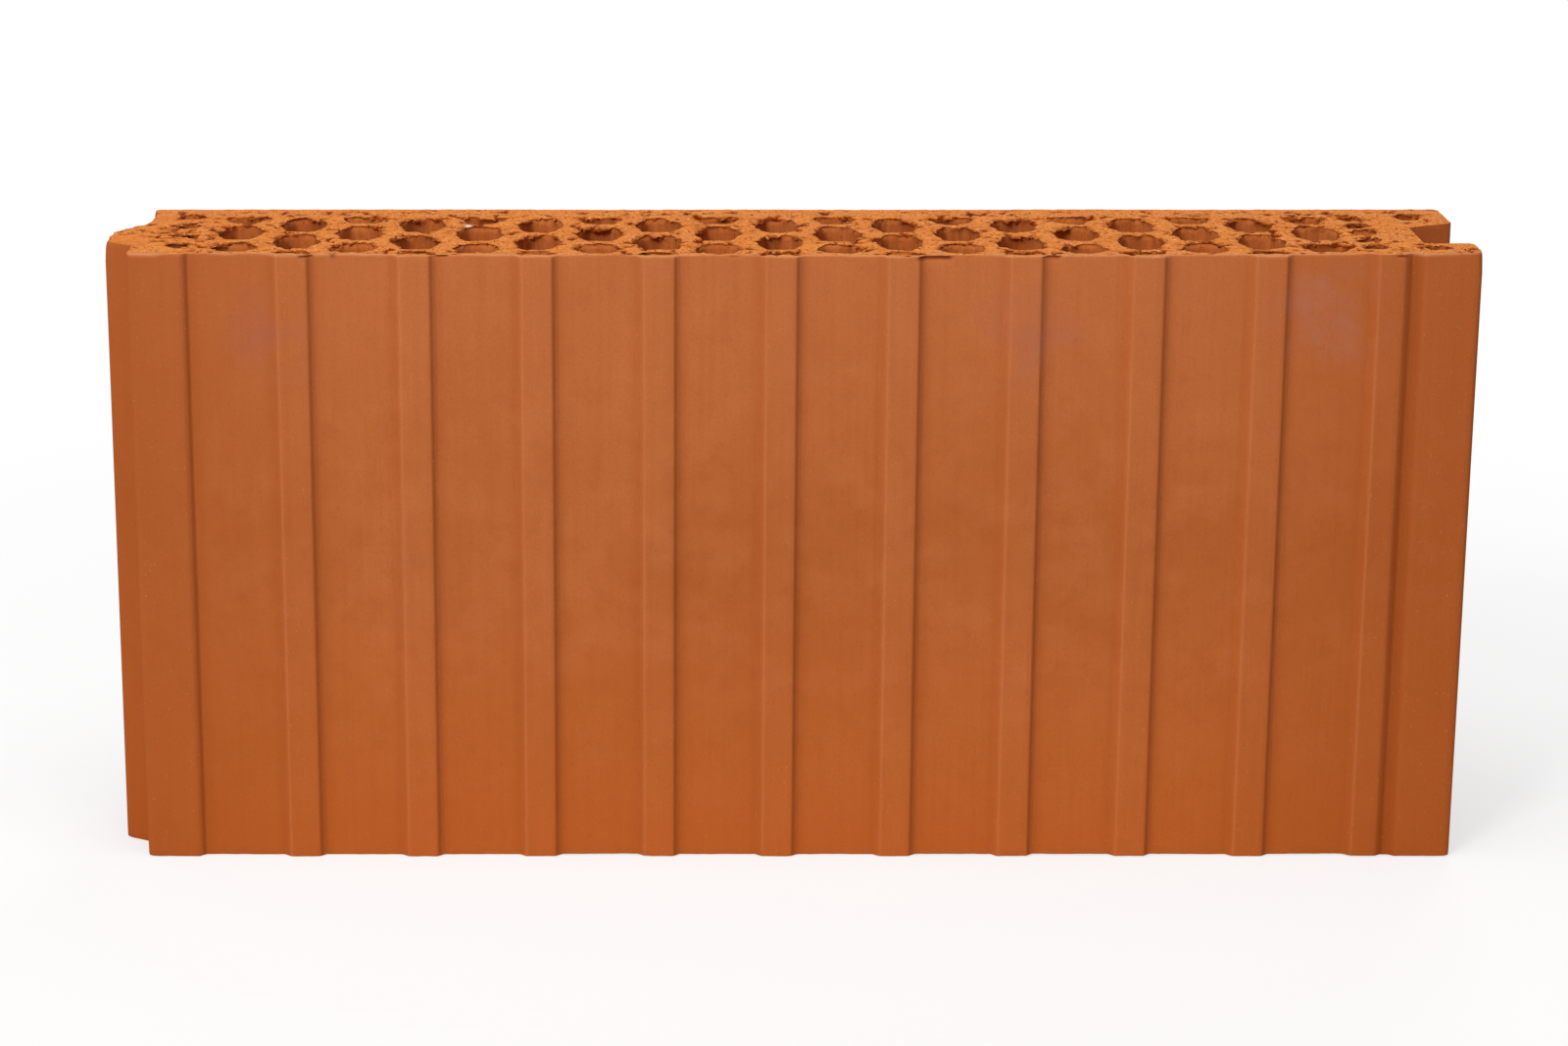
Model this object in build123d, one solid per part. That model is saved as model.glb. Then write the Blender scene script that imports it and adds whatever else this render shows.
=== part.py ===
from build123d import *
import os

# Hollow clay block for partition walls, one fired piece, standing on its bed face.
# Every wall, rib and hole runs straight up, the way the clay left the die.
# Plan coordinates: u runs along the block from its front left corner and
# v runs back from the front face. All lengths in millimetres.

# overall
body_length = 500.0
depth = 80.0
height = 238.0

# front face: flat panels set back between raised ribs, a broad leg at each end
left_leg = 19.8
right_leg = 21.5
first_rib = 60.5
rib_pitch = 45.2
rib_width = 11.2
panel_recess = 2.1
panel_slope = 2.6
slot_width = 7.2
slot_recess = 1.5
slot_slope = 2.2

# tongue standing out of the left end
tongue_out = 11.0
tongue_root_front = 14.0
tongue_tip_front = 19.5
tongue_tip_rear = 42.5
tongue_root_rear = 53.0

# groove let into the right end
groove_in = 18.0
groove_mouth_front = 17.8
groove_floor_front = 18.6
groove_floor_rear = 45.8
groove_mouth_rear = 54.0

# small breaks on the upright corners
corner_break = 1.5

# staggered rows of hexagonal cells, points to left and right
first_column = 37.9
cell_width = 19.0
cell_flat = 10.0
cell_wall = 3.0
row_web = 4.6
rear_shell = 14.2
pocket_web = 2.9
row_steps = 4
near_row = 13.2
near_cell_depth = 14.0

# half cells tucked in behind the front ribs
pocket_front = 4.2
pocket_depth = 4.6
pocket_width = 16.0

# small cells near both ends
small_width = 11.0
small_flat = 6.0
small_depth = 8.6
left_column = 16.6
left_first_row = 15.5
left_last_inset = 14.0
left_count = 4
right_inset = 37.0
right_first_row = 14.0
right_last_inset = 17.5
right_count = 5
leg_cell_inset = 14.5
rear_leg_cell_inset = 14.0
rear_leg_cell_depth = 12.0
front_leg_cell_row = 10.6
front_leg_cell_depth = 7.2


def recess(start, end, inward, slope):
    """Corner points of one straight sided recess in the front face."""
    return [(start, 0), (start + slope, inward), (end - slope, inward), (end, 0)]


def front_face():
    """Front face of the plan, read from the left leg to the right leg."""
    half = rib_width / 2
    slot_end = body_length - right_leg
    slot_start = slot_end - slot_width
    rib_count = 1 + int((slot_start - half - first_rib) / rib_pitch)
    points = [(0, corner_break), (corner_break, 0)]
    start = left_leg
    for number in range(rib_count):
        centre = first_rib + number * rib_pitch
        points += recess(start, centre - half, panel_recess, panel_slope)
        start = centre + half
    last_rib = start - half + rib_pitch
    if last_rib < slot_start:
        points += recess(start, last_rib - half, panel_recess, panel_slope)
    points += recess(slot_start, slot_end, slot_recess, slot_slope)
    points += [(body_length - corner_break, 0), (body_length, corner_break)]
    return points


def right_end():
    """Right end of the plan with its groove, read from front to rear."""
    floor = body_length - groove_in
    return [
        (body_length, groove_mouth_front - corner_break),
        (body_length - corner_break, groove_mouth_front),
        (floor, groove_floor_front),
        (floor, groove_floor_rear),
        (body_length - corner_break, groove_mouth_rear - corner_break / 2),
        (body_length, groove_mouth_rear + corner_break / 2),
        (body_length, depth - corner_break),
        (body_length - corner_break, depth),
    ]


def left_end():
    """Left end of the plan with its tongue, read from rear to front."""
    return [
        (corner_break, depth),
        (0, depth - corner_break),
        (0, tongue_root_rear),
        (-tongue_out + corner_break, tongue_tip_rear + corner_break / 2),
        (-tongue_out, tongue_tip_rear - corner_break),
        (-tongue_out, tongue_tip_front + corner_break),
        (-tongue_out + corner_break, tongue_tip_front),
        (0, tongue_root_front),
    ]


def hexagon(u, v, width, flat, size):
    """Hexagonal hole with its points to left and right."""
    return [
        (u - width / 2, v),
        (u - flat / 2, v - size / 2),
        (u + flat / 2, v - size / 2),
        (u + width / 2, v),
        (u + flat / 2, v + size / 2),
        (u - flat / 2, v + size / 2),
    ]


def front_half(u, v, size):
    """Front half of a hexagonal hole, cut flat where it is widest."""
    return hexagon(u, v, cell_width, cell_flat, size)[:4]


def rib_pocket(u):
    """Flat half hexagon behind a rib, widest at the front."""
    rear = pocket_front + pocket_depth
    return [
        (u - pocket_width / 2, pocket_front),
        (u + pocket_width / 2, pocket_front),
        (u + cell_flat / 2, rear),
        (u - cell_flat / 2, rear),
    ]


def main_cells():
    """The staggered cells, column by column from the left."""
    rear_row = depth - rear_shell
    first_web = pocket_front + pocket_depth + pocket_web
    row_pitch = (rear_row - first_web + row_web / 2) / row_steps
    cell_depth = 2 * row_pitch - row_web
    third_row = first_web + cell_depth / 2
    second_row = third_row + row_pitch
    first_row = second_row + row_pitch
    column_pitch = rib_pitch / 2
    room = body_length - right_inset - first_column
    room -= (cell_width + small_width) / 2 + cell_wall
    holes = []
    for number in range(1 + int(room / column_pitch)):
        u = first_column + number * column_pitch
        if number % 2 == 0:
            holes.append(front_half(u, rear_row, cell_depth))
            holes.append(hexagon(u, second_row, cell_width, cell_flat, cell_depth))
            holes.append(hexagon(u, near_row, cell_width, cell_flat, near_cell_depth))
        else:
            holes.append(hexagon(u, first_row, cell_width, cell_flat, cell_depth))
            holes.append(hexagon(u, third_row, cell_width, cell_flat, cell_depth))
            holes.append(rib_pocket(u))
    return holes


def small_column(u, first, last, count):
    """One column of small cells, evenly spaced from front to rear."""
    step = (last - first) / (count - 1)
    rows = [first + number * step for number in range(count)]
    return [hexagon(u, v, small_width, small_flat, small_depth) for v in rows]


def end_cells():
    """Small cells near both ends and one in each leg of the right end."""
    u = body_length - leg_cell_inset
    left_last = depth - left_last_inset
    right_last = depth - right_last_inset
    right_column = body_length - right_inset
    holes = small_column(left_column, left_first_row, left_last, left_count)
    holes += small_column(right_column, right_first_row, right_last, right_count)
    rear_row = depth - rear_leg_cell_inset
    holes.append(hexagon(u, rear_row, small_width, small_flat, rear_leg_cell_depth))
    row = front_leg_cell_row
    holes.append(hexagon(u, row, small_width, small_flat, front_leg_cell_depth))
    return holes


def face_of(points):
    """Flat face through plan points, centred under the whole block."""
    middle = (body_length - tongue_out) / 2
    placed = [(u - middle, v - depth / 2) for u, v in points]
    return make_face(Polyline(*placed, close=True))


outline = face_of(front_face() + right_end() + left_end())
cells = [face_of(points) for points in main_cells() + end_cells()]
block = extrude(outline - cells, amount=height)

os.makedirs("parts", exist_ok=True)
export_step(block, "parts/clay_block.step")
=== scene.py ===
import math

import bpy
import numpy as np
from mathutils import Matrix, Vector
from mathutils.geometry import delaunay_2d_cdt


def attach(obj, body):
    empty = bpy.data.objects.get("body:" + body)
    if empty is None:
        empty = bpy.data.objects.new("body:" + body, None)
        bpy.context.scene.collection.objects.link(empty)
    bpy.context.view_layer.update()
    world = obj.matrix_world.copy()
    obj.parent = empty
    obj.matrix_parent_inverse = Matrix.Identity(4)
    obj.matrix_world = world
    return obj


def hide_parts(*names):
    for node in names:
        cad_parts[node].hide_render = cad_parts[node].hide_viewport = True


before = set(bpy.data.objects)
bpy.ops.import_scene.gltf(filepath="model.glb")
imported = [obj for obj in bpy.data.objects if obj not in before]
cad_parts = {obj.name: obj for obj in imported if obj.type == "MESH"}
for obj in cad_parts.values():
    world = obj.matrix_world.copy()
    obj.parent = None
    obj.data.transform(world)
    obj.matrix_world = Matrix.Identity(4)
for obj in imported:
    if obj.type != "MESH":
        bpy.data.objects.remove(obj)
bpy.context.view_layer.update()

# Hollow clay block, fired once, standing on its bed face. Plan sizes in
# millimetres: u runs along the front face from its left corner, v runs back
# from the front face. They are the same driving sizes as in the solid.
MM = 0.001
BODY_LENGTH = 500.0
DEPTH = 80.0
HEIGHT = 238.0
LEFT_LEG = 19.8
RIGHT_LEG = 21.5
FIRST_RIB = 60.5
RIB_PITCH = 45.2
RIB_WIDTH = 11.2
RIB_COUNT = 10
PANEL_RECESS = 2.1
PANEL_SLOPE = 2.6
SLOT_WIDTH = 7.2
SLOT_RECESS = 1.5
SLOT_SLOPE = 2.2
TONGUE_OUT = 11.0
TONGUE_ROOT_FRONT = 14.0
TONGUE_TIP_FRONT = 19.5
TONGUE_TIP_REAR = 42.5
TONGUE_ROOT_REAR = 53.0
GROOVE_IN = 18.0
GROOVE_MOUTH_FRONT = 17.8
GROOVE_FLOOR_FRONT = 18.6
GROOVE_FLOOR_REAR = 45.8
GROOVE_MOUTH_REAR = 54.0
CORNER_BREAK = 1.5
FIRST_COLUMN = 37.9
COLUMN_COUNT = 19
CELL_WIDTH = 19.0
CELL_FLAT = 10.0
CELL_DEPTH = 23.6
FIRST_ROW = 51.7
SECOND_ROW = 37.6
THIRD_ROW = 23.5
REAR_ROW = 65.8
NEAR_ROW = 13.2
NEAR_CELL_DEPTH = 14.0
POCKET_FRONT = 4.2
POCKET_DEPTH = 4.6
POCKET_WIDTH = 16.0
SMALL_WIDTH = 11.0
SMALL_FLAT = 6.0
SMALL_DEPTH = 8.6
LEFT_COLUMN = 16.6
LEFT_ROWS = np.linspace(15.5, 66.0, 4)
RIGHT_COLUMN = 463.0
RIGHT_ROWS = np.linspace(14.0, 62.5, 5)
LEG_COLUMN = 485.5
# The two cells in the legs of the right end: place along v and depth.
LEG_CELLS = [(66.0, 12.0), (10.6, 7.2)]
# Half way between the tip of the tongue and the right end.
MIDDLE = (BODY_LENGTH - TONGUE_OUT) / 2

# How far the wire smeared the mouths of the small end cells together: 0 is
# open, 1 is shut. The order is that of the rows and leg cells above.
LEFT_SMEAR = [0.45, 0.5, 0.0, 0.05]
RIGHT_SMEAR = [0.25, 0.15, 0.0, 0.15, 0.2]
LEG_SMEAR = [0.1, 0.15]

# Tears in the upper cut face that the photograph shows: u, v, half length
# along the block, half width and depth.
TEARS = [
    (9.0, 37.5, 5.0, 1.3, 2.3), (17.0, 28.5, 8.0, 1.2, 2.3),
    (25.0, 33.5, 5.5, 1.1, 2.1), (12.0, 44.0, 3.0, 1.0, 1.2),
    (26.0, 25.0, 4.0, 0.8, 1.3), (20.0, 11.5, 5.0, 0.8, 1.2),
    (31.0, 19.0, 3.0, 0.8, 1.0), (5.0, 30.0, 3.0, 0.8, 0.9), (76.0, 3.0, 3.0, 0.9, 1.2),
    (109.0, 3.2, 6.0, 0.7, 1.1), (183.0, 2.8, 5.0, 0.6, 0.9),
    (232.0, 3.0, 5.0, 0.7, 1.1), (288.0, 3.0, 6.0, 0.7, 1.0),
    (390.0, 2.8, 4.0, 0.6, 0.9), (57.0, 58.0, 3.5, 0.8, 0.9),
    (128.0, 71.0, 4.0, 0.7, 0.8), (215.0, 73.0, 3.0, 0.7, 0.7),
    (301.0, 55.0, 2.5, 0.9, 1.0), (352.0, 41.0, 3.0, 0.9, 1.1),
    (449.0, 55.0, 5.0, 1.2, 1.3), (455.0, 32.0, 4.5, 1.0, 1.4),
    (470.0, 20.5, 5.0, 0.9, 1.2), (474.0, 8.0, 3.0, 0.8, 1.0),
    (407.0, 70.5, 3.5, 0.7, 0.8), (14.0, 50.0, 4.0, 1.1, 2.1),
    (23.0, 56.0, 5.0, 1.2, 2.1), (8.0, 46.0, 3.5, 1.0, 1.9),
    (29.0, 40.0, 4.0, 1.1, 2.0), (17.0, 38.5, 5.5, 1.2, 2.3),
    (10.0, 22.0, 4.0, 0.9, 1.8), (-4.0, 34.0, 3.5, 1.0, 1.3),
    (31.0, 30.0, 3.5, 0.8, 1.2), (24.0, 17.0, 4.0, 0.8, 1.1),
    (2.0, 40.0, 3.0, 0.9, 1.2), (468.0, 38.0, 4.0, 0.9, 1.3),
    (456.0, 45.0, 4.0, 0.9, 1.2)]

# Flake scars in the front face just under its upper edge: u, depth under the
# edge, half width, half height and depth into the clay.
# Besides their relief, the scars are darkened in the torn mask as painted shade.
CHIPS = [
    (298.0, 1.5, 6.2, 1.0, 1.1), (341.5, 1.2, 3.4, 0.8, 0.8),
    (66.0, 1.0, 3.0, 0.7, 0.6), (116.0, 0.8, 2.6, 0.6, 0.6),
    (470.0, 0.9, 2.4, 0.6, 0.5), (224.0, 0.7, 3.0, 0.6, 0.4)]

# Corners of the upper edge that are knocked away: u, v, radius, and how far
# the clay is pressed in along u and along v.
KNOCKS = [
    (-11.0, 43.0, 5.5, 1.8, -2.2), (-10.0, 22.0, 4.0, 0.8, 0.8),
    (0.0, 66.0, 6.0, 1.6, 0.0), (0.0, 58.0, 4.0, 1.2, -0.4),
    (500.0, 0.0, 3.0, -0.7, 0.7), (-7.0, 48.0, 2.2, 1.3, -1.0),
    (-2.0, 51.5, 1.8, 0.9, -0.9), (0.0, 72.0, 2.4, 1.4, 0.0),
    (-11.0, 34.0, 2.6, 1.3, 0.2), (-11.0, 27.0, 2.0, 1.0, -0.2)]

# The white speck on a rear rim and the dark one on the front lip: u, v, height.
WHITE_SPECK = (123.5, 50.6, 237.3)
DARK_SPECK = (76, 1.2, 236.6)

# Hazes on the front face: middle, radius, strength and colour.
HAZES = [
    ((445, 0, 214), 32, 0.45, "#ad7465"), ((54, 0, 206), 30, 0.45, "#a15f4e"),
    ((333, 0, 205), 36, 0.4, "#a6634e"), ((110, 0, 110), 40, 0.3, "#a85c3a")]

# Sag of the upper cut in the middle of its front edge.
SAG = 1.3
# Outline points with less v than this belong to the front face.
FRONT_BAND = 3.0

# Spacing of the mesh points: along the outline, on the upper cut face and on
# the bed face.
OUTLINE_STEP = 0.75
TOP_STEP = 0.95
BED_STEP = 2.6

# Levels of the walls: depths under the upper face, where every outline point
# is used, and heights above the bed face, where every second one is.
FINE_DEPTHS = [0.0, 0.5, 1.1, 1.9, 3.2]
COARSE_RISES = [230.0, 176.0, 60.0, 3.0, 0.8, 0.0]
# How much of a flap is left at each fine depth.
FLAP_LEFT = [0.8, 1.0, 0.75, 0.25, 0.0]
# How deep the bed face's relief is, as a share of the upper face's.
BED_RELIEF = 0.7

# Seeds of the relief of the two cut faces, and of where the crumbs lie and
# how they are shaped. The other seeds stand in their calls.
TOP_SEED = 51
BED_SEED = 61
CRUMB_PLACE_SEED = 97
CRUMB_SHAPE_SEED = 98

GRAIN_COUNT = 900
FLAKE_COUNT = 260

# Material slots of the block: the skin, the cut faces and the cells' walls.
SKIN_SLOT, CUT_SLOT, WALL_SLOT = 0, 1, 2
# Edges that turn by more degrees than this are shaded as sharp.
SHARP_ANGLE = 50

# Camera: photograph's width and focal length in pixels, sensor in millimetres,
# place in plan millimetres, angle below level, and lens shift.
PHOTO_WIDTH = 1600
FOCAL_PIXELS = 3500
SENSOR = 36.0
CAMERA_PLACE = (196.1, -1232.6, 508.7)
CAMERA_DIP = 13.77
CAMERA_SHIFT = (0.08, -0.12)

# Lamps: name, place, aim, width and height in metres, and power in watts.
LAMPS = [
    ("key", (-1.5, -2.2, 1.9), (0, 0, 0.12), (0.8, 0.8), 46),
    ("top", (-0.1, -0.3, 1.7), (0, 0, 0.1), (1.0, 0.7), 13.5),
    ("back", (0.9, 2.4, 1.2), (0, 0, 0.12), (1.2, 1.2), 17)]
WORLD_STRENGTH = 0.3
FLOOR_HALF = 8.0


def ease(values, low, high):
    """0 up to low, 1 from high on, and 3t^2 - 2t^3 in between."""
    share = np.clip((values - low) / (high - low), 0, 1)
    return share * share * (3 - 2 * share)


def noise(points, size, seed):
    """Smooth random field between -1 and 1.

    Random values sit on a cubic lattice whose spacing is size, and each point
    takes the blend of the eight around it, eased with 3t^2 - 2t^3 each way.
    """
    table = np.random.default_rng(seed).uniform(-1, 1, (32, 32, 32))
    scaled = np.asarray(points, float) / size
    low = np.floor(scaled).astype(int)
    part = scaled - low
    part = part * part * (3 - 2 * part)
    total = 0.0
    for corner in np.ndindex(2, 2, 2):
        index = (low + corner) % 32
        weight = np.prod(np.where(corner, part, 1 - part), axis=-1)
        total = total + weight * table[index[..., 0], index[..., 1], index[..., 2]]
    return total


def layered(points, size, seed, layers=3):
    """Sum of noise layers, each half the size and half the strength of the last."""
    total = 0.0
    for layer in range(layers):
        total = total + noise(points, size / 2 ** layer, seed + layer) / 2 ** layer
    return total


def recess(start, end, inward, slope):
    """Corner points of one straight sided recess in the front face."""
    return [(start, 0), (start + slope, inward), (end - slope, inward), (end, 0)]


def outline_corners():
    """Corners of the plan outline, counterclockwise from the front left corner."""
    half = RIB_WIDTH / 2
    slot_end = BODY_LENGTH - RIGHT_LEG
    slot_start = slot_end - SLOT_WIDTH
    points = [(0, CORNER_BREAK), (CORNER_BREAK, 0)]
    start = LEFT_LEG
    for number in range(RIB_COUNT):
        centre = FIRST_RIB + number * RIB_PITCH
        points += recess(start, centre - half, PANEL_RECESS, PANEL_SLOPE)
        start = centre + half
    points += recess(slot_start, slot_end, SLOT_RECESS, SLOT_SLOPE)
    floor = BODY_LENGTH - GROOVE_IN
    points += [
        (BODY_LENGTH - CORNER_BREAK, 0),
        (BODY_LENGTH, CORNER_BREAK),
        (BODY_LENGTH, GROOVE_MOUTH_FRONT - CORNER_BREAK),
        (BODY_LENGTH - CORNER_BREAK, GROOVE_MOUTH_FRONT),
        (floor, GROOVE_FLOOR_FRONT),
        (floor, GROOVE_FLOOR_REAR),
        (BODY_LENGTH - CORNER_BREAK, GROOVE_MOUTH_REAR - CORNER_BREAK / 2),
        (BODY_LENGTH, GROOVE_MOUTH_REAR + CORNER_BREAK / 2),
        (BODY_LENGTH, DEPTH - CORNER_BREAK),
        (BODY_LENGTH - CORNER_BREAK, DEPTH),
        (CORNER_BREAK, DEPTH),
        (0, DEPTH - CORNER_BREAK),
        (0, TONGUE_ROOT_REAR),
        (-TONGUE_OUT + CORNER_BREAK, TONGUE_TIP_REAR + CORNER_BREAK / 2),
        (-TONGUE_OUT, TONGUE_TIP_REAR - CORNER_BREAK),
        (-TONGUE_OUT, TONGUE_TIP_FRONT + CORNER_BREAK),
        (-TONGUE_OUT + CORNER_BREAK, TONGUE_TIP_FRONT),
        (0, TONGUE_ROOT_FRONT),
    ]
    return np.array(points, float)


def hexagon(u, v, width, flat, depth):
    """Six corners of a cell with its points to left and right, clockwise."""
    return [
        (u - width / 2, v), (u - flat / 2, v + depth / 2), (u + flat / 2, v + depth / 2),
        (u + width / 2, v), (u + flat / 2, v - depth / 2), (u - flat / 2, v - depth / 2)]


def rear_half_cell(u):
    """Six corners of a cell cut flat at the rear, clockwise."""
    third = CELL_WIDTH / 6
    front = REAR_ROW - CELL_DEPTH / 2
    return [
        (u - CELL_WIDTH / 2, REAR_ROW), (u - third, REAR_ROW),
        (u + third, REAR_ROW), (u + CELL_WIDTH / 2, REAR_ROW),
        (u + CELL_FLAT / 2, front), (u - CELL_FLAT / 2, front)]


def rib_pocket(u):
    """Six corners of the flat half cell behind a rib, clockwise."""
    third = POCKET_WIDTH / 6
    rear = POCKET_FRONT + POCKET_DEPTH
    return [
        (u - POCKET_WIDTH / 2, POCKET_FRONT), (u - CELL_FLAT / 2, rear),
        (u + CELL_FLAT / 2, rear), (u + POCKET_WIDTH / 2, POCKET_FRONT),
        (u + third, POCKET_FRONT), (u - third, POCKET_FRONT)]


def cell_corners():
    """Corners of every cell, cells by six corners by two, and each cell's smear."""
    cells = []
    for number in range(COLUMN_COUNT):
        u = FIRST_COLUMN + number * RIB_PITCH / 2
        if number % 2 == 0:
            cells.append(rear_half_cell(u))
            cells.append(hexagon(u, SECOND_ROW, CELL_WIDTH, CELL_FLAT, CELL_DEPTH))
            cells.append(hexagon(u, NEAR_ROW, CELL_WIDTH, CELL_FLAT, NEAR_CELL_DEPTH))
        else:
            cells.append(hexagon(u, FIRST_ROW, CELL_WIDTH, CELL_FLAT, CELL_DEPTH))
            cells.append(hexagon(u, THIRD_ROW, CELL_WIDTH, CELL_FLAT, CELL_DEPTH))
            cells.append(rib_pocket(u))
    smear = [0.0] * len(cells) + LEFT_SMEAR + RIGHT_SMEAR + LEG_SMEAR
    for v in LEFT_ROWS:
        cells.append(hexagon(LEFT_COLUMN, v, SMALL_WIDTH, SMALL_FLAT, SMALL_DEPTH))
    for v in RIGHT_ROWS:
        cells.append(hexagon(RIGHT_COLUMN, v, SMALL_WIDTH, SMALL_FLAT, SMALL_DEPTH))
    for v, depth in LEG_CELLS:
        cells.append(hexagon(LEG_COLUMN, v, SMALL_WIDTH, SMALL_FLAT, depth))
    return np.array(cells, float), np.array(smear)


def along_edges(corners, step):
    """Points along a closed outline, an even number of about one step apart on
    each edge.

    Every corner is first cut back a little, so that no edge of the clay is
    sharper than the die left it.
    """
    cut = 0.35
    before = np.roll(corners, 1, axis=0) - corners
    after = np.roll(corners, -1, axis=0) - corners
    before /= np.linalg.norm(before, axis=1, keepdims=True)
    after /= np.linalg.norm(after, axis=1, keepdims=True)
    ends = np.stack([corners + before * cut, corners + after * cut], axis=1)
    ends = ends.reshape(-1, 2)
    pieces = []
    for start, end in zip(ends, np.roll(ends, -1, axis=0)):
        count = 2 * max(1, int(math.ceil(np.linalg.norm(end - start) / step / 2)))
        share = np.arange(count)[:, None] / count
        pieces.append(start + (end - start) * share)
    return np.concatenate(pieces)


def cell_loops(corners, per_edge=14, rounds=12):
    """Rounded cell outlines: straight edges whose points are averaged with
    their neighbours a few times, which softens the corners only."""
    share = np.arange(per_edge)[:, None] / per_edge
    ends = np.roll(corners, -1, axis=1)
    loops = corners[:, :, None] + (ends - corners)[:, :, None] * share
    loops = loops.reshape(len(corners), -1, 2)
    for _ in range(rounds):
        loops = loops / 2 + (np.roll(loops, 1, axis=1) + np.roll(loops, -1, axis=1)) / 4
    return loops


class Plan:
    """All outline points of the block's section in one list.

    Clay lies to the left of every loop, so the outline runs counterclockwise
    and the cells run clockwise. Every loop has an even number of points, and
    every second one of them makes the coarse plan. Every point knows the next
    one of its loop, the direction into the open, and, in a cell, the cell's
    middle and half depth along v, its smear, and whether it is one of the near
    row or of the small cells at the ends.
    """

    def __init__(self, outer, cells, smear):
        count, per_cell = cells.shape[:2]
        self.points = np.concatenate([outer, cells.reshape(-1, 2)])
        self.loop = np.concatenate([
            np.zeros(len(outer), int), 1 + np.repeat(np.arange(count), per_cell)])
        steps = np.arange(len(self.points))
        start = np.concatenate([
            np.zeros(len(outer), int),
            len(outer) + np.repeat(np.arange(count) * per_cell, per_cell)])
        length = np.where(self.loop == 0, len(outer), per_cell)
        self.next = start + (steps - start + 1) % length
        last = start + (steps - start - 1) % length
        along = self.points[self.next] - self.points[last]
        for _ in range(3):
            along = along / 2 + (along[self.next] + along[last]) / 4
        along /= np.linalg.norm(along, axis=1, keepdims=True)
        self.open_side = np.stack([along[:, 1], -along[:, 0]], axis=1)
        self.is_cell = self.loop > 0
        front, rear = cells[:, :, 1].min(axis=1), cells[:, :, 1].max(axis=1)
        none = np.zeros(len(outer))
        self.half_depth = np.concatenate(
            [none + 1, np.repeat((rear - front) / 2, per_cell)])
        self.middle = np.concatenate([none, np.repeat((rear + front) / 2, per_cell)])
        self.smear = np.concatenate([none, np.repeat(smear, per_cell)])
        self.near_row = (self.half_depth > 5) & (np.abs(self.middle - NEAR_ROW) < 1)
        behind_pockets = self.middle > POCKET_FRONT + POCKET_DEPTH
        self.small = self.is_cell & (self.half_depth < 5) & behind_pockets


def nearest_rim(points, rims):
    """Distance to the nearest outline point and its number, strip by strip."""
    strip = 20.0
    reach = 14.0
    distance = np.full(len(points), reach)
    index = np.zeros(len(points), int)
    for low in np.arange(points[:, 0].min(), points[:, 0].max() + strip, strip):
        here = np.flatnonzero((points[:, 0] >= low) & (points[:, 0] < low + strip))
        near = np.flatnonzero(
            (rims[:, 0] > low - reach) & (rims[:, 0] < low + strip + reach))
        if len(here) == 0 or len(near) == 0:
            continue
        gaps = np.linalg.norm(points[here, None] - rims[None, near], axis=2)
        best = gaps.argmin(axis=1)
        distance[here] = gaps[np.arange(len(here)), best]
        index[here] = near[best]
    return distance, index


def open_sides(plan, rims):
    """Unit directions from the torn rims into the open, worked out afresh."""
    before = np.empty_like(plan.next)
    before[plan.next] = np.arange(len(plan.next))
    along = rims[plan.next] - rims[before]
    along /= np.maximum(np.linalg.norm(along, axis=1, keepdims=True), 1e-6)
    return np.stack([along[:, 1], -along[:, 0]], axis=1)


def inner_points(plan, rims, step, seed):
    """Jittered grid of points within the clay, kept clear of every rim."""
    jitter, clearance = 0.3, 0.6 * step
    us = np.arange(-TONGUE_OUT, BODY_LENGTH, step)
    vs = np.arange(0, DEPTH, step)
    grid = np.stack(np.meshgrid(us, vs), axis=-1).reshape(-1, 2)
    grid += np.random.default_rng(seed).uniform(-jitter, jitter, grid.shape) * step
    distance, index = nearest_rim(grid, rims)
    sides = open_sides(plan, rims)
    inside = ((grid - rims[index]) * sides[index]).sum(axis=1) < 0
    return grid[inside & (distance > clearance)]


def cap_triangles(plan, rims, inner):
    """Triangles that fill the clay between the rims, through the inner points.

    A triangle with all its corners on one loop lies in the clay only if it
    turns the same way as the loop's own numbering.
    """
    flat = np.concatenate([rims, inner])
    edges = np.stack([np.arange(len(rims)), plan.next], axis=1)
    found = delaunay_2d_cdt(
        [Vector(point) for point in flat.tolist()], edges.tolist(), [], 0, 1e-7)
    assert len(found[0]) == len(flat), "outlines cross"
    origin = np.array([first[0] for first in found[3]])
    triangles = origin[np.array(found[2])]
    loop = np.concatenate([plan.loop, -1 - np.arange(len(inner))])[triangles]
    one_loop = (loop[:, 0] == loop[:, 1]) & (loop[:, 1] == loop[:, 2])
    ordered = flat[np.sort(triangles, axis=1)]
    first, second = ordered[:, 1] - ordered[:, 0], ordered[:, 2] - ordered[:, 0]
    turn = first[:, 0] * second[:, 1] - first[:, 1] * second[:, 0]
    return triangles[~(one_loop & (turn < 0))]


def solid(points, heights):
    """Points in space from plan points and heights, all in millimetres."""
    upright = np.broadcast_to(heights, len(points))[:, None]
    return np.concatenate([points, upright], axis=1)


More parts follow.
